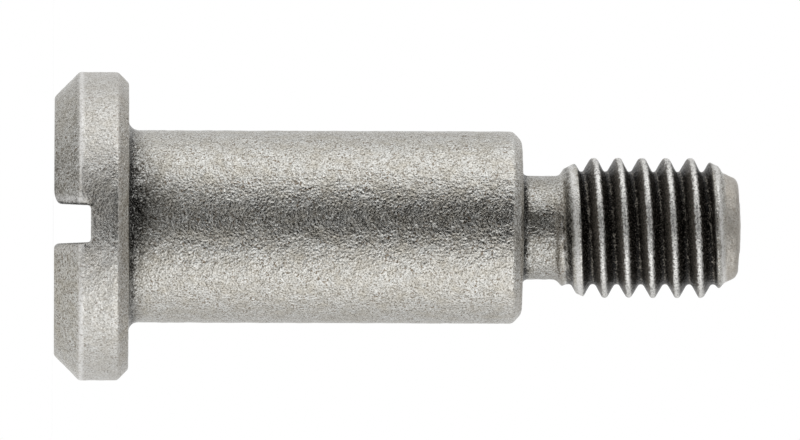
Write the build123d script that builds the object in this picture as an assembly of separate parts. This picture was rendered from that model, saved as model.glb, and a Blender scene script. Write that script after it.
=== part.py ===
from build123d import *

import os
from math import ceil, radians, tan

# Slotted shoulder screw, one piece of steel: a chamfered cheese head with a driver slot, a plain
# bearing shoulder, an undercut neck and a coarse rolled thread.
#
# The screw stands on its head. Its axis is +Z, the driven end of the head lies on Z = 0, the
# threaded tip points up, and the driver slot runs along Y. All lengths are in millimetres, and
# angles in degrees.

# Head: a short cylinder, chamfered on the driven end and more lightly on the seat side.
HEAD_DIAMETER = 12.8
HEAD_HEIGHT = 3.1
DRIVEN_CHAMFER = 1.05
DRIVEN_ROUND = 0.45
SEAT_CHAMFER = 0.45

# Driver slot: narrows a little towards its floor, and lies slightly off the axis, towards -X.
SLOT_MOUTH_WIDTH = 1.65
SLOT_FLOOR_WIDTH = 1.54
SLOT_DEPTH = 1.53
SLOT_OFFSET = 0.09
SLOT_ROOT_ROUND = 0.15
SLOT_LIP_ROUND = 0.22

# Shoulder: the plain cylinder that the moving part turns on.
SHOULDER_DIAMETER = 7.97
SHOULDER_LENGTH = 16.33
UNDERHEAD_FILLET = 0.4
SHOULDER_CHAMFER = 0.43
SHOULDER_ROUND = 0.5

# Neck: the undercut between the shoulder's stop face and the thread.
NECK_DIAMETER = 4.3
NECK_LENGTH = 1.23
NECK_FILLET = 0.2

# Thread: right-handed, a 60 degree V with a narrow flat left on its crest and a wider one in its
# root. Its diameter is measured over the crests. The angle is where its groove starts, at the neck.
THREAD_DIAMETER = 5.8
THREAD_PITCH = 1.0
THREAD_ANGLE = 60.0
CREST_FLAT = 0.12
ROOT_FLAT = 0.22
THREAD_START_ANGLE = 254.0

# Threaded end: from the stop face to the tip, with the same slope on the lead-in and the tip. The
# tip's end face is crowned: its middle stands a little higher than its edge.
THREADED_END_LENGTH = 9.02
CONE_ANGLE = 30.0
TIP_FACE_DIAMETER = 4.0
TIP_CROWN = 0.11
TIP_ROUND = 0.4

# The thread's form, worked out from its sides' slope. The crests keep the turned rod's radius.
THREAD_SLOPE = tan(radians(THREAD_ANGLE / 2))
THREAD_DEPTH = (THREAD_PITCH - CREST_FLAT - ROOT_FLAT) / 2 / THREAD_SLOPE
CREST_RADIUS = THREAD_DIAMETER / 2
ROOT_RADIUS = CREST_RADIUS - THREAD_DEPTH

# Stations along the axis, from the seat to the tip.
CONE_SLOPE = tan(radians(CONE_ANGLE))
SEAT_Z = HEAD_HEIGHT
STOP_Z = SEAT_Z + SHOULDER_LENGTH
LEAD_Z = STOP_Z + NECK_LENGTH
LEAD_TOP_Z = LEAD_Z + (CREST_RADIUS - NECK_DIAMETER / 2) / CONE_SLOPE
TIP_Z = STOP_Z + THREADED_END_LENGTH
TIP_EDGE_Z = TIP_Z - TIP_CROWN
TIP_CONE_Z = TIP_EDGE_Z - (CREST_RADIUS - TIP_FACE_DIAMETER / 2) / CONE_SLOPE


def turned_blank():
    """The screw before its slot and thread: one outline turned about the axis."""
    head, shoulder = HEAD_DIAMETER / 2, SHOULDER_DIAMETER / 2
    neck, tip = NECK_DIAMETER / 2, TIP_FACE_DIAMETER / 2
    # Each corner is its radius, its height and how far it is rounded.
    corners = [
        (head - DRIVEN_CHAMFER, 0, DRIVEN_ROUND),
        (head, DRIVEN_CHAMFER, DRIVEN_ROUND),
        (head, SEAT_Z - SEAT_CHAMFER, 0),
        (head - SEAT_CHAMFER, SEAT_Z, 0),
        (shoulder, SEAT_Z, UNDERHEAD_FILLET),
        (shoulder, STOP_Z - SHOULDER_CHAMFER, SHOULDER_ROUND),
        (shoulder - SHOULDER_CHAMFER, STOP_Z, SHOULDER_ROUND),
        (neck, STOP_Z, NECK_FILLET),
        (neck, LEAD_Z, 0),
        (CREST_RADIUS, LEAD_TOP_Z, 0),
        (CREST_RADIUS, TIP_CONE_Z, 0),
    ]
    outline = [(0, 0), *[(radius, z) for radius, z, _ in corners], (tip, TIP_EDGE_Z)]
    with BuildPart() as blank:
        with BuildSketch(Plane.XZ):
            with BuildLine():
                side = FilletPolyline(outline, radius=[rounding for _, _, rounding in corners])
                TangentArc((0, TIP_Z), side @ 1, tangent=(1, 0))
                Line((0, TIP_Z), side @ 0)
            make_face()
            fillet(vertices().sort_by_distance((tip, 0, TIP_EDGE_Z))[0], TIP_ROUND)
        revolve(axis=Axis.Z)
    return blank.part


def driver_slot():
    """The slot's section, with rounded corners at its floor, drawn right across the head along Y."""
    half_mouth, half_floor = SLOT_MOUTH_WIDTH / 2, SLOT_FLOOR_WIDTH / 2
    half_outside = half_mouth + (half_mouth - half_floor)
    section = [
        (half_floor, SLOT_DEPTH),
        (half_outside, -SLOT_DEPTH),
        (-half_outside, -SLOT_DEPTH),
        (-half_floor, SLOT_DEPTH),
    ]
    with BuildPart() as slot:
        with BuildSketch(Plane.XZ):
            Polygon(*section, align=None)
            fillet(vertices().group_by(Axis.Z)[-1], SLOT_ROOT_ROUND)
        extrude(amount=HEAD_DIAMETER, both=True)
    return Pos(-SLOT_OFFSET, 0, 0) * slot.part


def groove_turn():
    """One turn of the groove between the thread's turns: a V with a flat bottom, on a helix.

    Its four corners draw four helices, and a ruled face joins each to the next. Its mouth stands a
    little proud of the crests, but less than where it would meet the next turn.
    """
    half_root = ROOT_FLAT / 2
    half_mouth = (THREAD_PITCH - CREST_FLAT / 2) / 2
    mouth_radius = CREST_RADIUS + CREST_FLAT / 4 / THREAD_SLOPE
    corners = [
        (ROOT_RADIUS, -half_root),
        (ROOT_RADIUS, half_root),
        (mouth_radius, half_mouth),
        (mouth_radius, -half_mouth),
    ]
    helices = [Helix(THREAD_PITCH, THREAD_PITCH, radius, center=(0, 0, z)) for radius, z in corners]
    pairs = zip(helices, helices[1:] + helices[:1])
    sides = [Face.make_surface_from_curves(one.edge(), other.edge()) for one, other in pairs]
    ends = [Face(Wire.make_polygon([helix @ end for helix in helices])) for end in (0, 1)]
    return Solid(Shell([*sides, *ends]))


def threaded(rod):
    """Rolls the thread: takes the groove away turn by turn.

    The first turn starts beside the middle of the neck, and the last ends past the height where the
    tip's cone becomes thinner than the thread's root.
    """
    start_z = STOP_Z + NECK_LENGTH / 2
    end_z = TIP_EDGE_Z - (ROOT_RADIUS - TIP_FACE_DIAMETER / 2) / CONE_SLOPE + ROOT_FLAT
    turn = Rot(Z=THREAD_START_ANGLE) * groove_turn()
    for count in range(ceil((end_z - start_z) / THREAD_PITCH)):
        rod -= Pos(0, 0, start_z + count * THREAD_PITCH) * turn
    return rod


def shoulder_screw():
    """The finished screw: blank, then slot, then the slot's lips rounded, then the thread."""
    blank, slot = turned_blank(), driver_slot()
    slotted = blank - slot
    slotted = slotted.fillet(SLOT_LIP_ROUND, new_edges(blank, slot, combined=slotted))
    return threaded(slotted)


os.makedirs("parts", exist_ok=True)
screw = shoulder_screw()
screw.label = "shoulder_screw"
export_step(screw, "parts/shoulder_screw.step")
print(f"shoulder_screw: {screw.volume:.1f} mm3, {screw.bounding_box().size.Z:.2f} mm tall")
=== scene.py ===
# %% [markdown]
# # A slotted shoulder screw
# One piece of steel: a chamfered cheese head with a driver slot, a plain shoulder that a lever or
# wheel turns on, an undercut neck and a coarse thread. The CAD solid already has every one of
# these forms. This lesson dresses it: it builds the same screw as one fine mesh, with the softened
# edges and the slightly lumpy skin that grit blasting leaves, and gives it a steel finish.

from math import acos, ceil, cos, pi, radians, sin, tan

import bmesh
import bpy
import numpy as np
from mathutils import Matrix, Vector, noise


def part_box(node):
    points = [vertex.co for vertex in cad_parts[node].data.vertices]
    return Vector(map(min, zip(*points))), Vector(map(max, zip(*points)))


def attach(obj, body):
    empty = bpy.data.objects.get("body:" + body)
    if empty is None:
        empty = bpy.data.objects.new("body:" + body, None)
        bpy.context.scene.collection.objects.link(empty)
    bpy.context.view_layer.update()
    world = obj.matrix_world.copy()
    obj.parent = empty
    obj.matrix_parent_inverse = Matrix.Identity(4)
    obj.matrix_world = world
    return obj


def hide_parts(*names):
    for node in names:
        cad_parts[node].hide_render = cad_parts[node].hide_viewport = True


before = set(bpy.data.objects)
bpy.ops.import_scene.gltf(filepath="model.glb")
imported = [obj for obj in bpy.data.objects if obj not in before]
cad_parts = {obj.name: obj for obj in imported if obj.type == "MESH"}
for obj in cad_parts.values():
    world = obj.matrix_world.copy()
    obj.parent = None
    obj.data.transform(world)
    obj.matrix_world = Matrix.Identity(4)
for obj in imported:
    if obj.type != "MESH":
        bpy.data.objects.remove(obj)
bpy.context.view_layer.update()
MM = 0.001
low, high = (Vector(corner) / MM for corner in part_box("shoulder_screw"))
print("CAD box in mm:", [round(value, 3) for value in (*low, *high)])

# %% [markdown]
# ## Sizes
# The head's diameter and the screw's length come from the CAD part's box, so the mesh can't drift
# from it. The other sizes are the part's own, in millimetres, some of them trimmed by a few
# hundredths. Z = 0 is the driven end of the head, and the thread points up. A name that ends in _R
# is a radius, and one that ends in _Z is a height.

# %% Head, shoulder and neck sizes
# CONE is the slope of the lead-in and of the tip: the change of radius in a millimetre of height.
HEAD_R = (high.x - low.x) / 2
TIP_Z = high.z
CHAMFER = 1.05
CHAMFER_ROUND = 0.25
SEAT_Z = 3.08
SEAT_CHAMFER = 0.47
SHOULDER_R = 3.985
STOP_Z = 19.39
STOP_CHAMFER = 0.4
NECK_R = 2.15
LEAD_Z = 20.84
CONE = 0.49
print(f"head {2 * HEAD_R:.2f} mm across, screw {TIP_Z:.2f} mm long")

# %% Slot sizes
# SLOT_X is the slot's middle. SLOT_MOUTH and SLOT_FLOOR are half its width at its two heights.
SLOT_X = -0.1
SLOT_DEPTH = 1.53
SLOT_MOUTH = 0.835
SLOT_FLOOR = 0.77
SLOT_ROOT_ROUND = 0.15
LIP_ROUND = 0.1
BEVEL = 0.3
BEVEL_TILT = radians(32)
BEVEL_ROUND = 0.12
print(f"slot {2 * SLOT_MOUTH:.2f} mm wide and {SLOT_DEPTH:.2f} mm deep")

# %% Thread and tip sizes
# RISE is how far a crest stands up where it crosses a cone. At -X, CREST_AT is a crest's height,
# less whole pitches, and CREST_LEAN is how far a crest leans towards the tip.
PITCH = 1.0
CREST_R = 2.9
CREST_ROUND = 0.14
CREST_LEAN = 0.06
ROOT_ROUND = 0.16
RISE = 0.165
FLANK = radians(30)
CREST_AT = 0.333
TIP_R = 2.0
TIP_CROWN = 0.11
TIP_ROUND = 0.4
tip_edge_z = TIP_Z - TIP_CROWN
print(f"thread {2 * CREST_R:.1f} mm over its crests, pitch {PITCH:.1f} mm")

# %% [markdown]
# ## One outline for everything that is turned
# The screw starts as a bar in a lathe, so most of it is one outline spun about the axis. Blender's
# Spin or Screw would do that, but here the outline is worked out as points first, because the same
# points also give the rows of the mesh. A corner of the outline is a radius, a height and how far
# it is rounded.

# %% Round the corners of an outline
def rounded(corners, step):
    """Points along an outline whose corners are rounded, no further apart than step."""
    spots = np.array([corner[:2] for corner in corners], float)
    runs = [spots[:1]]
    for index, (_, _, radius) in enumerate(corners[1:-1], start=1):
        corner = spots[index]
        back, ahead = spots[index - 1] - corner, spots[index + 1] - corner
        back, ahead = back / np.linalg.norm(back), ahead / np.linalg.norm(ahead)
        half = acos(np.clip(back @ ahead, -1, 1)) / 2
        middle = corner + (back + ahead) / np.linalg.norm(back + ahead) * radius / sin(half)
        start, end = (corner + way * radius / tan(half) for way in (back, ahead))
        turn = np.linspace(-1, 1, 2 * max(2, ceil((pi / 2 - half) / 0.24)) + 1)
        toward = (corner - middle) / max(np.linalg.norm(corner - middle), 1e-9)
        across = np.array([-toward[1], toward[0]])
        across *= np.sign((end - start) @ across)
        angle = turn[:, None] * (pi / 2 - half)
        arc = middle + radius * (np.cos(angle) * toward + np.sin(angle) * across)
        runs.append(arc if radius else corner[None])
    runs.append(spots[-1:])
    points = [runs[0]]
    for one, other in zip(runs, runs[1:]):
        length = np.linalg.norm(other[0] - one[-1])
        share = np.linspace(0, 1, max(1, ceil(length / step - 1e-6)) + 1)[1:, None]
        points += [one[-1] + (other[0] - one[-1]) * share, other[1:]]
    return np.vstack(points)


square = rounded([(0, 0, 0), (1, 0, 0.2), (1, 1, 0)], 1)
print("an outline with one rounded corner has", len(square), "points")

# %% [markdown]
# ## The head's driven end
# A saw cuts the slot right across the head, then blasting and handling soften its lips. A Boolean
# and a Bevel would leave long thin faces here, which show as streaks on metal. So the end is laid
# out as a tailor lays out cloth: two lands, the slot's floor and its two walls, each an even
# grid. Then every point near an edge is pulled onto a rounded surface, which rounds all of
# the lips at once.

# %% How many faces each part of the head gets
# LAND_HALF and SIDE_HALF are how far the even grids in the middle reach along X and Y. FINE holds
# the first lines beside an edge, in millimetres from it: close together, so its round is smooth.
# The ordinary rows stop FINE_BEFORE the slot's floor, and start again FINE_AFTER it.
FLOOR_CELLS = 14
LAND_CELLS = 25
SIDE_CELLS = 40
RING_CELLS = 20
COLUMNS = 4 * LAND_CELLS + 2 * SIDE_CELLS + 2 * FLOOR_CELLS
LAND_HALF = 3.45
SIDE_HALF = 2.38
FINE = [0, 0.05, 0.1, 0.16, 0.22]
FINE_BEFORE = 0.25
FINE_AFTER = 0.3
ROW_STEP = 0.125
even_angle = 2 * pi / COLUMNS
print(COLUMNS, "columns of faces round the screw")


# %% The rows down the rim, and the slot's own width
def slot_half(z):
    """Half the slot's width at a height: it narrows a little towards its floor."""
    return SLOT_MOUTH + (SLOT_FLOOR - SLOT_MOUTH) * np.asarray(z) / SLOT_DEPTH


chamfer_line = [
    (HEAD_R - CHAMFER - 1, 0, 0),
    (HEAD_R - CHAMFER, 0, CHAMFER_ROUND),
    (HEAD_R, CHAMFER, CHAMFER_ROUND),
    (HEAD_R, SEAT_Z + 1, 0),
]
rim_line = rounded(chamfer_line, ROW_STEP)
edge_start = CHAMFER_ROUND * tan(pi / 8)
EDGE_R = HEAD_R - CHAMFER - edge_start
near_floor = [(HEAD_R, SLOT_DEPTH - drop) for drop in FINE[::-1]]
on_chamfer = (rim_line[:, 0] > EDGE_R - 1e-6) & (rim_line[:, 1] < SLOT_DEPTH - FINE_BEFORE)
notch_rows = np.vstack([rim_line[on_chamfer], near_floor])
print(len(notch_rows) - 1, "rows down the slot's walls")

# %% Lines across the slot and the lands
# BUNCHING draws the lines of the slot's floor together towards its corners.
BUNCHING = 1.2
RING_SPAN = 2.8
floor_lines = np.linspace(-1, 1, FLOOR_CELLS + 1)
floor_lines = np.sin(floor_lines * BUNCHING) / sin(BUNCHING) * SLOT_FLOOR + SLOT_X
ring_lines = [*FINE, *np.linspace(0.34, RING_SPAN, RING_CELLS - 4)]
ring_share = 1 - np.array(ring_lines[::-1]) / RING_SPAN
side_lines = np.linspace(-SIDE_HALF, SIDE_HALF, SIDE_CELLS + 1)
print(len(floor_lines), "lines across the slot's floor,", len(side_lines), "along its middle")


def along_slot(x, z, radius):
    """Points from one side of the head to the other, along a straight line beside the axis."""
    reach = np.sqrt(radius**2 - x**2)
    outer = SIDE_HALF + (reach - SIDE_HALF) * ring_share
    y = np.concatenate([-outer[::-1], side_lines[1:-1], outer])
    return np.stack([np.full_like(y, x), y, np.full_like(y, z)], -1)


# %% The slot's floor and walls
patches = [np.array([along_slot(x, SLOT_DEPTH, HEAD_R) for x in floor_lines])]
for side in (-1, 1):
    rows = [(SLOT_X + side * slot_half(z), z, radius) for radius, z in notch_rows]
    patches.append(np.array([along_slot(*row) for row in rows]))
print("slot floor and wall grids:", [patch.shape[:2] for patch in patches])


# %% The two lands
def land(side):
    """The flat on one side of the slot: a grid in its middle, and rings of faces to the edge."""
    lip = abs(SLOT_X + side * SLOT_MOUTH)
    lines = np.concatenate([FINE, np.linspace(FINE[-1], LAND_HALF - lip, LAND_CELLS - 3)[1:]]) + lip
    corner = SIDE_CELLS / 2 * even_angle
    lip_angle = acos(lip / EDGE_R)
    fine = [acos((lip + step) / EDGE_R) for step in FINE]
    fan = np.concatenate([fine, np.linspace(fine[-1], corner, LAND_CELLS - 3)[1:]])
    middle = np.array([[(x, y, 0) for y in side_lines] for x in lines])
    share = ring_share[:, None]
    grids = [middle]
    for way in (-1, 1):
        inner = np.array([(x, way * SIDE_HALF, 0) for x in lines])
        outer = np.array([(EDGE_R * cos(turn), way * EDGE_R * sin(turn), 0) for turn in fan])
        grids.append(np.array([a + (b - a) * share for a, b in zip(inner, outer)]))
    turns = np.linspace(-corner, corner, SIDE_CELLS + 1)
    inner = np.array([(LAND_HALF, y, 0) for y in side_lines])
    outer = np.array([(EDGE_R * cos(turn), EDGE_R * sin(turn), 0) for turn in turns])
    grids.append(np.array([a + (b - a) * share for a, b in zip(inner, outer)]))
    edge_turns = np.concatenate([-fan[:-1], turns, fan[::-1][1:]])
    mirror = np.array([side, 1, 1])
    return [grid * mirror for grid in grids], edge_turns, lip_angle


rim_angles = []
for side in (1, -1):
    grids, edge_turns, lip_angle = land(side)
    patches += grids
    rim = []
    for radius, z in notch_rows:
        edge = acos(abs(SLOT_X + side * slot_half(z)) / radius)
        turns = edge_turns * edge / lip_angle
        rim.append(np.stack([side * radius * np.cos(turns), radius * np.sin(turns),
                             np.full_like(turns, z)], -1))
    patches.append(np.array(rim))
    rim_angles.append(turns if side > 0 else pi - turns[::-1])
print("land and rim grids:", [patch.shape[:2] for patch in patches[3:]])

# %% [markdown]
# ### Pulling the edges round
# The rounded surface is written as a level: below zero in the metal, above zero in the air. It
# joins two plain levels, the head's outline and the slot, with a quarter round where they meet.
# The slot's lip towards -X also has a wide, flat bevel, which ends just above the slot's floor.
# Each point steps along the level's slope until its level is zero. A Shrinkwrap modifier would do
# much the same, but it needs the finished surface as a mesh first.


# %% The head as a level
def round_join(one, other, radius):
    """The larger of two levels, with a quarter round where they cross."""
    a, b = one + radius, other + radius
    corner = np.hypot(np.maximum(a, 0), np.maximum(b, 0))
    return np.minimum(np.maximum(a, b), 0) + corner - radius


def outline_level(line, radius, z):
    """How far points are outside a turned outline."""
    start, run = line[:-1], np.diff(line, axis=0)
    point = np.stack([radius, z], -1)[:, None]
    share = np.clip(((point - start) * run).sum(-1) / (run**2).sum(-1), 0, 1)
    gap = point - start - share[..., None] * run
    distance = np.linalg.norm(gap, axis=-1)
    nearest = distance.argmin(1)
    rows = np.arange(len(nearest))
    side = run[nearest, 0] * gap[rows, nearest, 1] - run[nearest, 1] * gap[rows, nearest, 0]
    return -np.sign(side) * distance[rows, nearest]


def ramp(value, start, end):
    """Rises smoothly from 0 to 1 between start and end."""
    share = np.clip((value - start) / (end - start), 0, 1)
    return share * share * (3 - 2 * share)


head_line = np.vstack([[(0, 0)], rim_line])


def head_level(points):
    """The driven end of the head: outline and slot joined, with soft lips."""
    x, y, z = points.T
    across = np.abs(x - SLOT_X) - slot_half(z)
    slot = round_join(across, z - SLOT_DEPTH, SLOT_ROOT_ROUND)
    outline = outline_level(head_line, np.hypot(x, y), z)
    # The bevel's width runs out to less than nothing before the slot's floor. The other lip has no
    # bevel: a level that is 1 lower leaves the outline as it is.
    width = BEVEL - 2 * BEVEL * ramp(z, SLOT_DEPTH - 0.26, SLOT_DEPTH - 0.02)
    bevel = (outline + (width - np.maximum(across, 0)) * tan(BEVEL_TILT)) * cos(BEVEL_TILT)
    bevelled = round_join(outline, np.where(x < SLOT_X, bevel, outline - 1), BEVEL_ROUND)
    plain_lip = 2 * LIP_ROUND - LIP_ROUND * ramp(z, 1, 1.4)
    return round_join(bevelled, -slot, np.where(x < SLOT_X, LIP_ROUND, plain_lip))


def settle(points):
    """Moves points onto the head's surface. Where the level hardly slopes, a move stays short."""
    nudge = 1e-4
    gentlest = 0.2
    steps = np.eye(3) * nudge
    for _ in range(4):
        level = head_level(points)
        slope = np.stack([(head_level(points + step) - level) / nudge for step in steps], -1)
        points = points - (level / np.maximum((slope**2).sum(-1), gentlest))[:, None] * slope
    return points


before = np.vstack([patch.reshape(-1, 3) for patch in patches])
patches = [settle(patch.reshape(-1, 3)).reshape(patch.shape) for patch in patches]
after = np.vstack([patch.reshape(-1, 3) for patch in patches])
print(f"settled {len(after)} points, by up to {np.linalg.norm(after - before, axis=1).max():.3f} mm")

# %% [markdown]
# ## From the rim to the tip
# Above the slot every row is a whole ring. The columns start where the slot put them, close
# together beside its lips, and spread out evenly by the middle of the shoulder. The thread is the
# same kind of ring, with a radius that winds round the axis. A Screw modifier would make the
# thread's turns too, but leave their two ends to be joined to the neck and the tip. A real thread
# like this is rolled, so its crests and roots are round, and a crest stands up a little where it
# crosses a cone.

# %% The outline above the slot
# The rows of the thread begin NECK_TOP below the lead-in cone.
NECK_TOP = 0.5
body_line = rounded([
    (HEAD_R, SLOT_DEPTH, 0),
    (HEAD_R, SEAT_Z - SEAT_CHAMFER, 0.28),
    (HEAD_R - SEAT_CHAMFER, SEAT_Z, 0.2),
    (SHOULDER_R, SEAT_Z, 0.4),
    (SHOULDER_R, STOP_Z - STOP_CHAMFER, 0.3),
    (SHOULDER_R - STOP_CHAMFER, STOP_Z - 0.02, 0.38),
    (NECK_R, STOP_Z + 0.03, 0.2),
    (NECK_R, LEAD_Z - NECK_TOP, 0),
], ROW_STEP)
fine_rim = np.array([(HEAD_R, SLOT_DEPTH + rise) for rise in FINE[1:]])
ordinary = body_line[:, 1] > SLOT_DEPTH + FINE_AFTER
body_line = np.vstack([body_line[:1], fine_rim, body_line[ordinary]])
print(len(body_line), "rows from the slot to the neck")


# %% The thread's radius
def soft_min(one, other, width):
    """The smaller of two radii, blended where they are nearly the same."""
    share = np.clip(0.5 + (other - one) / (2 * width), 0, 1)
    return other + (one - other) * share - width * share * (1 - share)


def from_crest(turn, z):
    """How far a place is from the nearest crest, along the axis, positive towards the tip."""
    start = CREST_AT + (turn - pi) / (2 * pi) * PITCH
    return (z - start + PITCH / 2) % PITCH - PITCH / 2


def thread_radius(turn, z):
    """The rolled thread: a 60 degree V with round crests and round roots, on a helix."""
    slope = tan(FLANK)
    apex = CREST_R - CREST_ROUND + CREST_ROUND / sin(FLANK)
    crest_centre = apex - CREST_ROUND / sin(FLANK)
    root_centre = apex - PITCH / 2 / slope + ROOT_ROUND / sin(FLANK)
    offset = from_crest(turn, z)
    lean = CREST_LEAN * (1 - np.cos(turn)) / 2
    leaning = np.maximum(offset - lean, 0) * (PITCH / 2) / (PITCH / 2 - lean)
    offset = np.where(offset > 0, leaning, -offset)
    radius = apex - offset / slope
    crest = crest_centre + np.sqrt(np.maximum(CREST_ROUND**2 - offset**2, 0))
    root = root_centre - np.sqrt(np.maximum(ROOT_ROUND**2 - (PITCH / 2 - offset) ** 2, 0))
    radius = np.where(offset < CREST_ROUND * cos(FLANK), crest, radius)
    return np.where(PITCH / 2 - offset < ROOT_ROUND * cos(FLANK), root, radius)


print(f"thread {2 * float(thread_radius(pi, CREST_AT + PITCH / 2)):.2f} mm across in its roots")

# %% The rod that the thread is rolled on
THREAD_STEP = 0.046
TIP_STEP = 0.06
tip_line = rounded([
    (CREST_R, tip_edge_z - (CREST_R - TIP_R) / CONE, 0),
    (TIP_R, tip_edge_z, TIP_ROUND),
    (TIP_R - 0.9, tip_edge_z + TIP_CROWN * 0.45, 0),
], TIP_STEP)
last_row = int(np.argmax(tip_line[:, 0] < TIP_R + 0.26))


def band(value, rise_from, rise_to, fall_from, fall_to):
    """Rises smoothly from 0 to 1, stays there, and falls back to 0."""
    return ramp(value, rise_from, rise_to) * (1 - ramp(value, fall_from, fall_to))


def rod_radius(turn, z):
    """Neck, lead-in cone and tip cone, and the metal that rolling lifts where a crest crosses one."""
    lead = -soft_min(-NECK_R - (z - LEAD_Z) * CONE, -NECK_R, 0.05)
    tip = TIP_R + (tip_edge_z - z) * CONE
    lifted = RISE * (1 - ramp(np.abs(from_crest(turn, z)), 0.18, 0.42))
    lifted *= band(z, LEAD_Z - 0.14, LEAD_Z + 0.26, TIP_Z - 0.95, TIP_Z - 0.62)
    return np.minimum(lead, tip) + lifted


thread_z = np.arange(LEAD_Z - NECK_TOP, tip_line[last_row, 1], THREAD_STEP)
print(len(thread_z), "rows of thread")

# %% Where the columns stand
# They take SPREAD millimetres along the outline to move from the slot's spacing to an even one.
SPREAD = 10.0
right, left = rim_angles
floor_turns = [acos(x / HEAD_R) for x in floor_lines[1:-1]]
start_turns = np.concatenate([right, floor_turns[::-1], left, [2 * pi - turn for turn in floor_turns]])
even_turns = (np.arange(COLUMNS) - (LAND_CELLS + SIDE_CELLS / 2)) * even_angle
walked = np.concatenate([[0], np.cumsum(np.linalg.norm(np.diff(body_line, axis=0), axis=1))])
print(f"the outline from slot to neck is {walked[-1]:.1f} mm long")


# %% Rings of points round the axis
def ring(radius, turns, z):
    """One ring of points. The radius is one number, or one for each point."""
    return np.stack([radius * np.cos(turns), radius * np.sin(turns), np.full(COLUMNS, z)], -1)


rings = []
for (radius, z), path in zip(body_line, walked):
    turns = start_turns + (even_turns - start_turns) * ramp(path, 0, SPREAD)
    made = ring(radius, turns, z)
    rings.append(settle(made) if z < SLOT_DEPTH + 0.4 else made)
# Near the tip the thread runs into the rod more softly.
for z in thread_z[1:]:
    blend = 0.06 + 0.07 * ramp(z, TIP_Z - 1.5, TIP_Z - 1.1)
    radius = soft_min(rod_radius(even_turns, z), thread_radius(even_turns, z), blend)
    rings.append(ring(radius, even_turns, z))
for radius, z in tip_line[last_row:]:
    rings.append(ring(radius, even_turns, z))
print(len(rings), "rings of", COLUMNS, "points")

# %% [markdown]
# ### The tip's end
# The end of the tip is a low dome. Rings that shrink to one point would pinch the faces there and
# show as a star on metal, so the last rings shrink to the border of a small grid instead.

# %% The tip's crowned end
GRID_X = 0.74
GRID_Y = 0.5
TIP_RINGS = 6
wide = np.linspace(-GRID_X, GRID_X, FLOOR_CELLS + 2 * LAND_CELLS + 1)
deep = np.linspace(-GRID_Y, GRID_Y, SIDE_CELLS + 1)


def crown(points):
    """Lifts points onto the tip's low dome."""
    lift = TIP_CROWN * (1 - (points[..., 0] ** 2 + points[..., 1] ** 2) / TIP_R**2)
    return np.concatenate([points[..., :2], (tip_edge_z + lift)[..., None]], -1)


middle = np.array([[(x, y, 0) for y in deep] for x in wide])
first = LAND_CELLS + FLOOR_CELLS
front, back = middle[:, 0], middle[::-1, -1]
border = np.array([*front[first:-1], *middle[-1, :-1], *back[:-1], *middle[0, :0:-1], *front[:first]])
for left_over in range(TIP_RINGS, 0, -1):
    rings.append(crown(rings[-1] + (border - rings[-1]) * (1 / left_over)))
rings[-1] = crown(border)
patches.append(crown(middle))
rings = np.array(rings)
patches.append(np.concatenate([rings, rings[:, :1]], axis=1))
print(len(rings), "rings in all, and a grid of", middle.shape[:2], "points in the tip's end")

# %% [markdown]
# ### One closed mesh
# The grids meet edge to edge, so their points lie on top of each other along the seams. Merge by
# Distance welds them into one closed skin.

# %% Weld the grids
screw_mesh = bpy.data.meshes.new("dressed_screw")
points, faces = [], []
for grid in patches:
    rows, columns = grid.shape[:2]
    index = np.arange(rows * columns).reshape(rows, columns) + sum(map(len, points))
    corners = [index[:-1, :-1], index[:-1, 1:], index[1:, 1:], index[1:, :-1]]
    faces.append(np.stack(corners, -1).reshape(-1, 4))
    points.append(grid.reshape(-1, 3))
screw_mesh.from_pydata(np.vstack(points) * MM, [], np.vstack(faces).tolist())
welder = bmesh.new()
welder.from_mesh(screw_mesh)
bmesh.ops.remove_doubles(welder, verts=welder.verts, dist=1e-4 * MM)
bmesh.ops.recalc_face_normals(welder, faces=welder.faces)
open_edges = sum(not edge.is_manifold for edge in welder.edges)
print(f"{len(welder.faces)} faces, {open_edges} open edges, {welder.calc_volume() / MM**3:.1f} mm3")
welder.to_mesh(screw_mesh)
welder.free()
screw_mesh.shade_smooth()
screw = bpy.data.objects.new("dressed_screw", screw_mesh)
bpy.context.scene.collection.objects.link(screw)

# %% [markdown]
# ## Grit-blasted skin
# Blasting peens the whole surface into small overlapping dimples. The larger of them are real
# shape, so they move the mesh: two layers of noise, the same at every run, push each point a
# hundredth of a millimetre or two in or out along its normal. The rim of the head is dimpled
# deeper, and is set in a little. Last, no point is left outside the CAD part's box, so the screw
# keeps its size. A Displace modifier could do this too, but then the dimples couldn't also steer
# the colour below.

# %% Dimples in the mesh
# LUMP and DIMPLE are how long the waves of the two layers are.
LUMP, LUMP_DEPTH = 0.55, 0.01
DIMPLE, DIMPLE_DEPTH = 0.24, 0.01
RIM_DEEPER, RIM_SET_IN = 1.6, 0.01
spots = np.empty(len(screw_mesh.vertices) * 3)
normals = np.empty_like(spots)
screw_mesh.vertices.foreach_get("co", spots)
screw_mesh.vertices.foreach_get("normal", normals)
spots, normals = spots.reshape(-1, 3) / MM, normals.reshape(-1, 3)
lumps = np.array([noise.noise(Vector(spot) / LUMP) for spot in spots])
dimples = np.array([noise.noise(Vector(spot) / DIMPLE + Vector((40, 7, 3))) for spot in spots])
push = LUMP_DEPTH * lumps + DIMPLE_DEPTH * dimples
on_side = np.hypot(spots[:, 0], spots[:, 1]) > HEAD_R - 0.02
push = np.where(on_side, RIM_DEEPER * push - RIM_SET_IN, push)
spots = spots + normals * push[:, None]
from_axis = np.hypot(spots[:, 0], spots[:, 1])
spots[:, :2] *= np.minimum(HEAD_R / np.maximum(from_axis, 1), 1)[:, None]
spots[:, 2] = np.clip(spots[:, 2], 0, TIP_Z)
screw_mesh.vertices.foreach_set("co", (spots * MM).ravel())
screw_mesh.update()
print(f"the skin rises {push.max():.3f} mm and falls {-push.min():.3f} mm")
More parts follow.
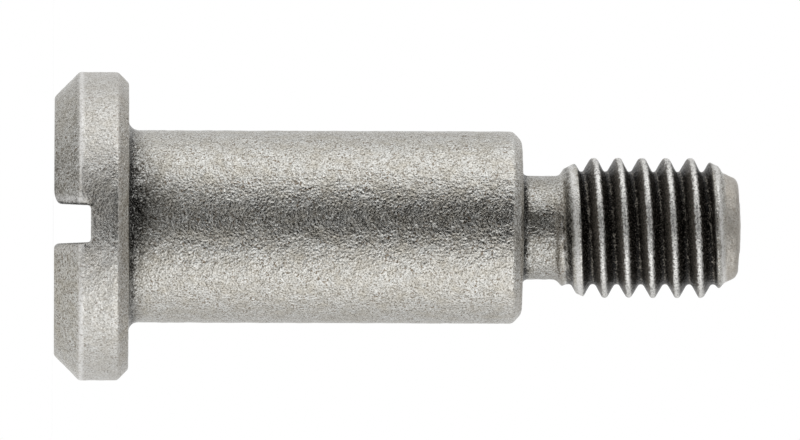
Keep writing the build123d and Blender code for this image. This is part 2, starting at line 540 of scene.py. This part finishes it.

# %% [markdown]
# ## Painted shade, worn edges and painted highlights
# Grit hits the crests and the open faces. The corner under the head, the slot's edges, the driven
# end, the shoulder's end, the first groove and the thread's flanks get painted shade: dark colour
# where shade falls and where the metal mirrors the dark camera side, with a little dark film of
# scale and oil under the head. The neck and its corner are darker. Handling and a driver rub the
# rim and the slot's lips bright, and a painted highlight on top brightens the rim's edge, the
# lips, the crests and the run-in. The flat places at the seat, the stop face and the neck rust a
# little.
# Where each of these lies depends on the shape, so it is worked out from each point's place and
# goes into the mesh as an attribute, which the material can read. Painting them by hand with
# Vertex Paint would work too, but then they couldn't follow a change of size.


# %% Where each point lies
def near(value, place, width):
    """1 at a place, falling away smoothly to 0 on both sides of it."""
    return np.exp(-((value - place) / width) ** 2)


x, z = spots[:, 0], spots[:, 2]
radius = np.hypot(spots[:, 0], spots[:, 1])
turn = np.arctan2(spots[:, 1], spots[:, 0])
from_slot = np.abs(x - SLOT_X) - slot_half(z)
offset = from_crest(turn, z)
outer = radius > HEAD_R - 0.3
on_rim = band(z, CHAMFER - 0.12, CHAMFER, SEAT_Z - SEAT_CHAMFER, SEAT_Z - 0.3)
print(f"{on_rim.mean():.0%} of the points lie on the rim's height")

# %% Painted shade under the head, at the slot's edge and on the driven end, and a darker neck
# Under the head the painted shade reaches furthest at the bearing set just below, the side
# towards the camera. On the driven end it is thicker on the side towards -X.
SHADE_TURN = radians(-106)
# Painted shade in the corner under the head, deepest towards the camera, where the metal mirrors the
# dark seat and the dark camera side. A little dark film lies there too.
into_corner = np.hypot(np.maximum(radius - SHOULDER_R, 0), z - SEAT_Z)
camera_side_shade = near(turn, SHADE_TURN, radians(28))
reach = (into_corner / (0.31 + 0.85 * camera_side_shade)) ** (1.5 - 0.4 * camera_side_shade)
shade_under_head = (0.9 + 0.15 * camera_side_shade) * np.exp(-reach) * (z > SEAT_Z - 0.02) * (radius < HEAD_R - 0.4)
neck_corner = 1 - ramp(np.hypot(radius - NECK_R, z - STOP_Z), 0.1, 0.3)
on_neck = band(z, STOP_Z, STOP_Z + 0.2, LEAD_Z, LEAD_Z + 0.3)
# Painted shade: a dark line along the top of the slot's wall on the side towards -X.
slot_edge_shade = near(from_slot, 0.02, 0.04) * (z < SLOT_DEPTH + 0.1) * (x < SLOT_X)
on_end = z < CHAMFER - 0.03
minus_side = ramp(-x, -3, 0)
# Painted shade on the driven end: a little towards -X, more on the side towards the camera, and a dark
# line along the chamfer's edge towards -X.
driven_end_shade = on_end * (0.07 * minus_side + 0.22 * near(turn, radians(-112), 0.35))
driven_end_shade += 0.1 * on_end * minus_side * near(z, 0.88, 0.09)
print(f"the film is deepest under the head, {shade_under_head.max():.2f} of 1")

# %% Painted shade where the thread begins
# It lies in the first groove and on the flank beside it, and as a broken dark line on the run-in.
first_turn = band(z, LEAD_Z + 0.2, LEAD_Z + 0.35, LEAD_Z + 0.55, LEAD_Z + 0.75)
first_groove_shade = 0.8 * first_turn * near(offset, -0.33, 0.13) * ramp(x, -1.9, 0.4)
first_flank_shade = band(z, LEAD_Z + 0.1, LEAD_Z + 0.3, LEAD_Z + 0.8, LEAD_Z + 1.0)
first_flank_shade *= 0.42 * near(offset, -0.17, 0.09) * (1 - ramp(x, 0, 1.5))
run_in_shade_line = 0.5 * near(offset, 0.49, 0.035) * (np.abs(z - LEAD_Z - 0.3) < 0.25)
run_in_shade_line *= (x > -0.5) * np.maximum(1 - 1.8 * dimples, 0)
print(f"{(first_groove_shade > 0.1).sum()} points lie in the dark first groove")

# %% All of the painted shade and film together
# A little painted shade also lies on the shoulder's end, on the side towards the camera, and where
# the slot's floor cuts the rim, where it dims a pale band.
end_shade = band(z, STOP_Z - 0.46, STOP_Z - 0.38, STOP_Z - 0.2, STOP_Z - 0.1) * (radius > NECK_R + 1)
end_shade = 0.24 * end_shade * near(turn, -pi / 2, 0.45)
notch_edge_shade = (z > SLOT_DEPTH - 0.03) * (from_slot < 0.05)
notch_edge_shade = notch_edge_shade * (1 - ramp(z, SLOT_DEPTH + 0.08, SLOT_DEPTH + 0.16))
film = shade_under_head + 0.7 * neck_corner + 0.21 * on_neck + 0.8 * slot_edge_shade + driven_end_shade + first_groove_shade
film += 0.3 * notch_edge_shade
film += first_flank_shade + run_in_shade_line + end_shade
film = np.clip(film, 0, 1)
print(f"{(film > 0.5).mean():.0%} of the points are under a dark film")

# %% Worn edges and painted highlights
# Handling wears the rim, the slot's lips, the shoulder's end, the crests and the run-in. A painted
# highlight on top brightens the rim's edge, most towards +X and -X, the lip towards -X, the crests
# and the run-in. The crests of the last two turns are worn and highlighted on a narrower line.
# Painted highlight along the rim's edge, with some real wear on the rim.
rim_edge_highlight = near(z, CHAMFER + 0.06, 0.08) * (0.15 + ramp(np.abs(x), 1.5, 3))
rim_wear_and_highlight = (0.3 * on_rim + 0.8 * rim_edge_highlight) * outer
lip_wear_and_highlight = near(from_slot, 0.2, 0.13) * np.where(x < SLOT_X, 1, 0.4)
lip_wear_and_highlight *= 1 - ramp(z, SLOT_DEPTH - 0.4, SLOT_DEPTH - 0.1)
shoulder_end = ramp(z, STOP_Z - 1.2, STOP_Z - 0.7) * (radius > SHOULDER_R - 0.35) * (z < STOP_Z)
crest_width = np.where(z > TIP_Z - 2, 0.09, 0.13)
crest_wear_and_highlight = near(offset, 0, crest_width) * ramp(z, LEAD_Z + 0.3, LEAD_Z + 0.6)
run_in_wear_and_highlight = near(offset, 0.42, 0.045) * (np.abs(z - LEAD_Z - 0.15) < 0.3) * (x > -0.5)
run_in_wear_and_highlight *= np.maximum(0.6 + 2.2 * dimples, 0)
wear_and_highlight = np.clip(rim_wear_and_highlight + lip_wear_and_highlight + 0.12 * shoulder_end + crest_wear_and_highlight + 0.7 * run_in_wear_and_highlight, 0, 1)
print(f"{(wear_and_highlight > 0.5).mean():.0%} of the points are rubbed bright")

# %% Threaded part, rust and the plain tip
# A point is in the thread where the groove has taken metal away from the rod.
threaded = band(z, LEAD_Z + 0.15, LEAD_Z + 0.4, TIP_Z - 0.9, TIP_Z - 0.65)
near_tip = ramp(z, TIP_Z - 1.9, TIP_Z - 1.5)
threaded *= ramp(rod_radius(turn, z) + 0.02 - radius, 0.0, 0.09 - 0.03 * near_tip)
seat_edge = ramp(z, SEAT_Z - SEAT_CHAMFER - 0.05, SEAT_Z - SEAT_CHAMFER + 0.1)
seat_edge = seat_edge * (radius > SHOULDER_R + 0.5)
stop_edge = ramp(z, STOP_Z - 0.2, STOP_Z - 0.08) * (radius > NECK_R + 0.3) * (z < STOP_Z + 0.2)
run_out = near(z, LEAD_Z + 0.1, 0.35) * (x > -1)
stained = 0.1 * ramp(x, 0, 1.5) * (z > SEAT_Z) * (z < STOP_Z)
rust = 0.4 * seat_edge + 0.5 * stop_edge + 0.45 * run_out + stained
rust = np.clip(rust + 0.12 * on_rim * outer, 0, 1)
plain = ramp(z, TIP_Z - 0.8, TIP_Z - 0.6)
print(f"{(rust > 0.2).mean():.0%} of the points are rusty")


# %% Keep them as attributes
# late moves the thread's dark groove towards the tip in the last turn, relief scales the bump, and
# soft makes the rim's gloss duller.
def keep(name, values):
    """Stores one number for each point of the mesh."""
    layer = screw_mesh.attributes.new(name, "FLOAT", "POINT")
    layer.data.foreach_set("value", values.astype(np.float32))
    print(f"{name} has a mean of {values.mean():.3f}")


keep("film", film)
keep("wear_and_highlight", wear_and_highlight)
keep("threaded", threaded)
keep("rust", rust)
keep("plain", plain)
keep("late", 0.035 * ramp(z, TIP_Z - 1.6, TIP_Z - 1.2))
keep("relief", 1 - 0.45 * wear_and_highlight - 0.3 * plain - 0.2 * on_rim * outer)
keep("soft", 0.44 * on_rim * outer)

# %% [markdown]
# ## The finish
# Blasted steel is a metal with no polish. Its look comes from the grain: thousands of tiny facets
# that catch the light or lose it. Noise and Voronoi textures in object space make that grain for
# the Bump node, with no seams and at the same size everywhere, as a picture wrapped round the
# screw wouldn't. The same noise tints the pits brown, where grit and rust stay.

# %% Node helpers
def add(tree, kind, **values):
    """Adds a shader node and sets its options and the inputs it names."""
    made = tree.nodes.new("ShaderNode" + kind)
    for name, value in values.items():
        if hasattr(made, name):
            setattr(made, name, value)
        else:
            made.inputs[name.replace("_", " ")].default_value = value
    return made


def math(tree, operation, one, other):
    """Adds a Math node. Each input is a socket or a number."""
    made = add(tree, "Math", operation=operation)
    for socket, value in zip(made.inputs, (one, other)):
        if isinstance(value, (int, float)):
            socket.default_value = value
        else:
            tree.links.new(value, socket)
    return made.outputs[0]


def ramped(tree, value, stops):
    """Adds a Color Ramp with the given (position, colour) stops."""
    made = add(tree, "ValToRGB")
    elements = made.color_ramp.elements
    while len(elements) < len(stops):
        elements.new(0.5)
    for element, (position, colour) in zip(elements, stops):
        element.position = position
        element.color = (*colour, 1)
    tree.links.new(value, made.inputs["Fac"])
    return made.outputs["Color"]


print("helpers for nodes: add, math and ramped")

# %% Grain
# A texture's Scale counts its waves in a metre, so 10500 makes grains of about 0.1 mm.
steel = bpy.data.materials.new("blasted_steel")
steel.use_nodes = True
tree = steel.node_tree
link = tree.links.new
shader = tree.nodes["Principled BSDF"]
place = add(tree, "TexCoord").outputs["Object"]


def texture(kind, **values):
    """A texture on the screw's own coordinates."""
    made = add(tree, kind, **values)
    link(place, made.inputs["Vector"])
    return made


grain = texture("TexNoise", Scale=10500.0, Detail=3.0, Roughness=0.6).outputs["Fac"]
craters = texture("TexVoronoi", feature="SMOOTH_F1", Scale=9000.0, Smoothness=0.3)
craters = craters.outputs["Distance"]
dents = texture("TexNoise", Scale=2700.0, Detail=2.0, Roughness=0.55).outputs["Fac"]
height = math(tree, "ADD", grain, math(tree, "MULTIPLY", craters, 0.55))
height = math(tree, "ADD", height, math(tree, "MULTIPLY", dents, 1.4))
bump = add(tree, "Bump", Distance=0.000031)
link(height, bump.inputs["Height"])
link(add(tree, "Attribute", attribute_name="relief").outputs["Fac"], bump.inputs["Strength"])
link(bump.outputs["Normal"], shader.inputs["Normal"])
print("grain, craters and dents go into one Bump node")


# %% Helpers for colour
def mixed(share, one, other, blend="MIX"):
    """Mixes two colours by a share. Each input is a socket or a value."""
    made = add(tree, "Mix", data_type="RGBA", blend_type=blend)
    for name, value in (("Factor", share), ("A", one), ("B", other)):
        socket = made.inputs[name]
        if isinstance(value, tuple):
            socket.default_value = (*value, 1)
        elif isinstance(value, float):
            socket.default_value = value if name == "Factor" else (value, value, value, 1)
        else:
            link(value, socket)
    return made.outputs["Result"]


def greys(value, *stops):
    """A ramp of plain numbers, from (position, number) stops."""
    return ramped(tree, value, [(position, (number, number, number)) for position, number in stops])


def stored(name):
    """An attribute of the mesh."""
    return add(tree, "Attribute", attribute_name=name).outputs["Fac"]


print("helpers for colour: mixed, greys and stored")

# %% Steel, from its darkest flecks to its brightest, with lighter and browner patches
DARK_FLECK = (0.11, 0.095, 0.075)
CLEAN = (0.685, 0.676, 0.64)
BRIGHT_FLECK = (0.86, 0.855, 0.83)
fleck = texture("TexNoise", Scale=15000.0, Detail=2.0, Roughness=0.7).outputs["Fac"]
fresh = ramped(tree, fleck, [
    (0.29, DARK_FLECK),
    (0.38, (0.33, 0.315, 0.285)),
    (0.46, (0.58, 0.57, 0.535)),
    (0.53, CLEAN),
    (0.66, BRIGHT_FLECK),
])
patchy = texture("TexNoise", Scale=1500.0, Detail=3.0, Roughness=0.65).outputs["Fac"]
tones = ramped(tree, patchy, [
    (0.34, (0.85, 0.825, 0.775)),
    (0.5, (0.95, 0.945, 0.93)),
    (0.64, (1.03, 1.04, 1.045)),
])
toned = mixed(1.0, fresh, tones, "MULTIPLY")
print("clean steel is", CLEAN)

# %% Rust in the pits, the plain tip, and the polished edges with their painted highlights
RUST = (0.21, 0.16, 0.11)
TURNED = (0.49, 0.45, 0.4)
POLISHED_AND_HIGHLIGHT = (0.9, 0.89, 0.87)
pits = texture("TexNoise", Scale=7500.0, Detail=2.0, Roughness=0.6).outputs["Fac"]
in_patches = greys(patchy, (0.38, 0.25), (0.6, 1.0))
in_pits = greys(pits, (0.35, 0.85), (0.45, 0.0))
rusty = math(tree, "MULTIPLY", in_patches, in_pits)
by_edges = math(tree, "MULTIPLY", stored("rust"), greys(grain, (0.4, 1.0), (0.6, 0.3)))
rusty = math(tree, "MAXIMUM", rusty, by_edges)
rusted = mixed(rusty, toned, RUST)
rusted = mixed(math(tree, "MULTIPLY", stored("plain"), 0.6), rusted, TURNED)
# The bright colour on the worn edges is partly wear and partly a painted highlight.
wear_and_highlight_share = math(tree, "MULTIPLY", stored("wear_and_highlight"), greys(grain, (0.38, 0.35), (0.55, 1.0)))
polished_and_highlit = mixed(wear_and_highlight_share, rusted, POLISHED_AND_HIGHLIGHT)
print("rust is", RUST)

# %% Painted shade and dark film, with a ragged edge where they thin out
# The nearly black colour of the painted shade and of the film.
SHADE_AND_FILM = (0.008, 0.007, 0.006)
shade_and_film_level = stored("film")
uneven = math(tree, "MULTIPLY", math(tree, "POWER", shade_and_film_level, 2.0), math(tree, "SUBTRACT", 1.0, shade_and_film_level))
lumpy = math(tree, "SUBTRACT", 1.0, math(tree, "ADD", patchy, grain))
uneven = math(tree, "MULTIPLY", uneven, math(tree, "MULTIPLY", lumpy, 12.0))
shade_and_film_share = math(tree, "ADD", math(tree, "MULTIPLY", shade_and_film_level, 1.15), uneven)
shade_and_film_share = math(tree, "MINIMUM", math(tree, "MAXIMUM", shade_and_film_share, 0.0), 1.0)
shade_and_film_share = math(tree, "MULTIPLY", shade_and_film_share, greys(fleck, (0.53, 1.0), (0.67, 0.35)))
shaded_and_filmed = mixed(shade_and_film_share, polished_and_highlit, SHADE_AND_FILM)
print("the film is", SHADE_AND_FILM)

# %% [markdown]
# ### The thread's grooves
# On the real screw the crests are bright and the grooves between them nearly black, with a thin,
# broken bright line in each root. That light and shade is painted into the colour here: painted
# shade in the grooves and on the flanks, one flank lighter than the other, a painted highlight on
# the crests, which are worn as well, and a broken painted highlight in each root. The colour has
# to wind with the thread, so it comes from a phase: the height in pitches less the bearing in
# turns. It is a half on a crest and a whole number in a root, and it grows towards the tip.

# %% The phase that winds with the thread
# A little grain makes its lines wavy.
axes = add(tree, "SeparateXYZ")
link(place, axes.inputs[0])
bearing = math(tree, "ARCTAN2", axes.outputs["Y"], axes.outputs["X"])
turns = math(tree, "DIVIDE", bearing, 2 * pi)
pitches = math(tree, "DIVIDE", axes.outputs["Z"], PITCH * MM)
wavy = math(tree, "MULTIPLY", math(tree, "SUBTRACT", grain, 0.5), 0.32)
phase = math(tree, "ADD", math(tree, "SUBTRACT", pitches, turns), wavy)
phase = math(tree, "SUBTRACT", phase, CREST_AT)
phase = math(tree, "SUBTRACT", phase, stored("late"))
phase = math(tree, "FRACT", phase, 0.0)
print("one pitch of the pattern is", PITCH, "mm")

# %% Painted shade on the flanks, and painted highlights in the roots and on the crests of the thread
GROOVE_SHADE = (0.003, 0.0026, 0.0022)
LOWER_FLANK_SHADE = (0.21, 0.19, 0.165)
UPPER_FLANK_SHADE = (0.12, 0.108, 0.094)
ROOT_HIGHLIGHT = (0.5, 0.46, 0.4)
DUST = (0.4, 0.36, 0.31)
CREST_WEAR_AND_HIGHLIGHT = (0.9, 0.89, 0.86)
# Painted shade: the grooves nearly black, one flank lighter than the other.
painted_groove_and_dust = ramped(tree, phase, [
    (0.0, (0.006, 0.005, 0.004)),
    (0.16, (0.02, 0.017, 0.014)),
    (0.27, (0.1, 0.089, 0.075)),
    (0.42, LOWER_FLANK_SHADE),
    (0.64, UPPER_FLANK_SHADE),
    (0.69, (0.018, 0.015, 0.012)),
    (0.76, GROOVE_SHADE),
    (0.97, GROOVE_SHADE),
])
# A painted highlight: a thin, broken bright line in each root.
root_highlight_line = greys(phase, (0.03, 0.0), (0.055, 1.0), (0.07, 1.0), (0.1, 0.0))
broken_root_highlight = math(tree, "MULTIPLY", root_highlight_line, greys(dents, (0.44, 0.1), (0.56, 1.0)))
painted_groove_and_dust = mixed(broken_root_highlight, painted_groove_and_dust, ROOT_HIGHLIGHT)
painted_groove_and_dust = mixed(greys(fleck, (0.55, 0.0), (0.68, 0.45)), painted_groove_and_dust, DUST)
painted_groove_and_dust = mixed(1.0, painted_groove_and_dust, greys(fleck, (0.36, 0.25), (0.5, 1.0)), "MULTIPLY")
# The crests' bright colour is partly wear and partly a painted highlight.
crest = mixed(1.0, CREST_WEAR_AND_HIGHLIGHT, greys(fleck, (0.36, 0.3), (0.52, 1.0)), "MULTIPLY")
on_crest = greys(phase, (0.4, 0.0), (0.45, 1.0), (0.6, 1.0), (0.67, 0.0))
flank = mixed(on_crest, painted_groove_and_dust, crest)
link(mixed(stored("threaded"), shaded_and_filmed, flank), shader.inputs["Base Color"])
print("crests are", CREST_WEAR_AND_HIGHLIGHT, "and the darkest of the grooves", GROOVE_SHADE)

# %% Bare metal, or painted shade and dull film
# The painted shade and the film aren't metal, so the share of metal falls where they lie, in the
# thread's grooves too.
SHADE_AND_FILM_METAL = 0.4
bare = greys(phase, (0.4, 0.1), (0.45, 1.0), (0.6, 1.0), (0.65, 0.1))
metal = mixed(shade_and_film_share, 1.0, SHADE_AND_FILM_METAL)
link(mixed(stored("threaded"), metal, bare), shader.inputs["Metallic"])
print("the film counts as metal by", SHADE_AND_FILM_METAL)

# %% Gloss
# The tip, the crests and the rim are rougher than the rest, so their light is spread wider.
DULL = 0.46
duller = math(tree, "MAXIMUM", stored("plain"), math(tree, "MULTIPLY", stored("threaded"), on_crest))
duller = math(tree, "MAXIMUM", duller, stored("soft"))
link(mixed(duller, greys(grain, (0.35, 0.32), (0.6, 0.18)), DULL), shader.inputs["Roughness"])
shader.inputs["Specular IOR Level"].default_value = 0.1
print("roughness runs up to", DULL)

# %% Put the finish on
screw_mesh.materials.append(steel)
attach(screw, "root")
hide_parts("shoulder_screw")
print("the screw has", len(tree.nodes), "shader nodes")

# %% [markdown]
# ## The studio
# A small part like this is shot on white between two soft boxes. Metal shows what is round it, so
# the bands along the shoulder are the studio. The dark one is the dim side where the camera
# stands, and a nearly black card stands in for it. Grey cards behind, in front and above stand in
# for the rest of the room. The metal sees the cards, and the camera doesn't.
#
# The floor is a sheet of white paper a hair under the head. The world is white, and the floor
# partly glows, wherever the camera or a reflection sees them, so that they look white while the
# lamps stay low. The part of the floor that doesn't glow keeps the screw's shadow. From below the
# floor is clear, so the driven end can be seen from there.


# %% World
def seen(tree, camera, mirror):
    """How much a ray is a camera ray, or one that a reflection or clear glass sends on."""
    path = add(tree, "LightPath").outputs
    bounced = math(tree, "MAXIMUM", path["Is Glossy Ray"], path["Is Transmission Ray"])
    return math(tree, "MAXIMUM", math(tree, "MULTIPLY", path["Is Camera Ray"], camera),
                math(tree, "MULTIPLY", bounced, mirror))


world = bpy.data.worlds.new("studio")
bpy.context.scene.world = world
world.use_nodes = True
air = world.node_tree
background = air.nodes["Background"]
DAYLIGHT = 0.7
strength = math(air, "ADD", math(air, "MULTIPLY", seen(air, 1.0, 1.0), 0.3), DAYLIGHT)
air.links.new(strength, background.inputs["Strength"])
background.inputs["Color"].default_value = (1, 1, 1, 1)
print("the world lights the screw at", DAYLIGHT)


# %% A sheet of the stage
def flat(name, corners, material):
    """A four-cornered sheet that isn't part of the screw."""
    mesh = bpy.data.meshes.new(name)
    mesh.from_pydata([Vector(corner) * MM for corner in corners], [], [(0, 1, 2, 3)])
    made = bpy.data.objects.new(name, mesh)
    bpy.context.scene.collection.objects.link(made)
    mesh.materials.append(material)
    return made


print("helper for sheets: flat")

# %% Floor
# GLOW_SEEN and GLOW_MIRRORED are how much of the floor glows for the camera and for a reflection.
SPAN = 55
FLOOR_Z = -0.03
GLOW = 1.18
GLOW_SEEN = 0.74
GLOW_MIRRORED = 0.45
paper = bpy.data.materials.new("white_paper")
paper.use_nodes = True
sheet_tree = paper.node_tree
matt = sheet_tree.nodes["Principled BSDF"]
matt.inputs["Base Color"].default_value = (0.85, 0.85, 0.85, 1)
matt.inputs["Roughness"].default_value = 0.9
glow = add(sheet_tree, "Emission", Strength=GLOW)
both = add(sheet_tree, "MixShader")
sheet_tree.links.new(seen(sheet_tree, GLOW_SEEN, GLOW_MIRRORED), both.inputs[0])
sheet_tree.links.new(matt.outputs[0], both.inputs[1])
sheet_tree.links.new(glow.outputs[0], both.inputs[2])
clear = add(sheet_tree, "BsdfTransparent")
one_sided = add(sheet_tree, "MixShader")
sheet_tree.links.new(add(sheet_tree, "NewGeometry").outputs["Backfacing"], one_sided.inputs[0])
sheet_tree.links.new(both.outputs[0], one_sided.inputs[1])
sheet_tree.links.new(clear.outputs[0], one_sided.inputs[2])
sheet_tree.links.new(one_sided.outputs[0], sheet_tree.nodes["Material Output"].inputs["Surface"])
ways = ((-1, -1), (1, -1), (1, 1), (-1, 1))
flat("floor", [(SPAN * across, SPAN * along, FLOOR_Z) for across, along in ways], paper)
print(f"the floor lies {-FLOOR_Z:.2f} mm under the head")


# %% Cards
def card(name, level, corners):
    """A card of one plain brightness that the camera doesn't see, but the metal does."""
    made = bpy.data.materials.new(name)
    made.use_nodes = True
    nodes = made.node_tree
    light = add(nodes, "Emission", Strength=level)
    nodes.links.new(light.outputs[0], nodes.nodes["Material Output"].inputs["Surface"])
    sheet = flat(name, corners, made)
    sheet.visible_camera = False
    return sheet


FAR = 300
TALL = 330
NEAR_Z = 0.2
TOP_Z = 240


def upright(name, level, start, end):
    """A tall card between two bearings, in degrees from the camera's side towards +X."""
    one, other = [(FAR * sin(radians(turn)), -FAR * cos(radians(turn))) for turn in (start, end)]
    return card(name, level, [(*one, -TALL), (*other, -TALL), (*other, TALL), (*one, TALL)])


def level_card(name, level, x, front, back, z):
    """A card that lies level at a height, as wide as x on both sides."""
    return card(name, level, [(-x, front, z), (x, front, z), (x, back, z), (-x, back, z)])


upright("camera_side_card", 0.01, -44, 18.5)
upright("back_card_right", 0.74, 98, 180)
upright("back_card_left", 0.76, 180, 252)
level_card("front_card", 0.5, 30, -50, -9, NEAR_Z)
level_card("top_card", 0.5, 200, -260, 260, TOP_Z)


# %% Soft boxes
def soft_box(name, x, y, power):
    """A large area lamp beside the screw, turned to face it."""
    lamp = bpy.data.lights.new(name, "AREA")
    lamp.shape = "RECTANGLE"
    lamp.size = 0.22
    lamp.size_y = 0.3
    lamp.energy = power
    made = bpy.data.objects.new(name, lamp)
    bpy.context.scene.collection.objects.link(made)
    made.location = Vector((x, y, 110)) * MM
    aim = Vector((0, 0, 14)) * MM - made.location
    made.rotation_euler = aim.to_track_quat("-Z", "Y").to_euler()
    return made


soft_box("soft_box_low", 235, -120, 0.065)
soft_box("soft_box_high", -255, -65, 0.057)
print("soft boxes:", [round(lamp.energy, 3) for lamp in bpy.data.lights], "W")

# %% [markdown]
# ## The camera
# A long lens from far away keeps the turned outline square and flat. The screw stands on its
# head, and the camera lies on its side, so the screw lies across the picture. The camera stands
# about as high as the head, so it sees the screw's length very slightly from below.

# %% Camera
# VIEW_WIDTH is how many millimetres the picture is wide, and ROLL is how the camera leans.
LENS = 800
SENSOR = 36
VIEW_WIDTH = 33.17
AIM = Vector((-0.3035, 0, 14.335))
EYE_Z = 0.8
ROLL = radians(0.2)
lens = bpy.data.cameras.new("camera")
lens.lens = LENS
lens.sensor_width = SENSOR
distance = VIEW_WIDTH * LENS / SENSOR
lens.clip_start = 0.05
lens.clip_end = 5
camera = bpy.data.objects.new("camera", lens)
bpy.context.scene.collection.objects.link(camera)
spot = Vector((AIM.x, -distance, EYE_Z))
ahead = (AIM - spot).normalized()
picture_right = Vector((-sin(ROLL), 0, cos(ROLL)))
picture_right = (picture_right - ahead * picture_right.dot(ahead)).normalized()
turned = Matrix((picture_right, picture_right.cross(ahead), -ahead)).transposed()
camera.matrix_world = Matrix.Translation(spot * MM) @ turned.to_4x4()
bpy.context.scene.camera = camera
bpy.context.scene.view_settings.view_transform = "Standard"
print(f"camera {distance:.0f} mm away")
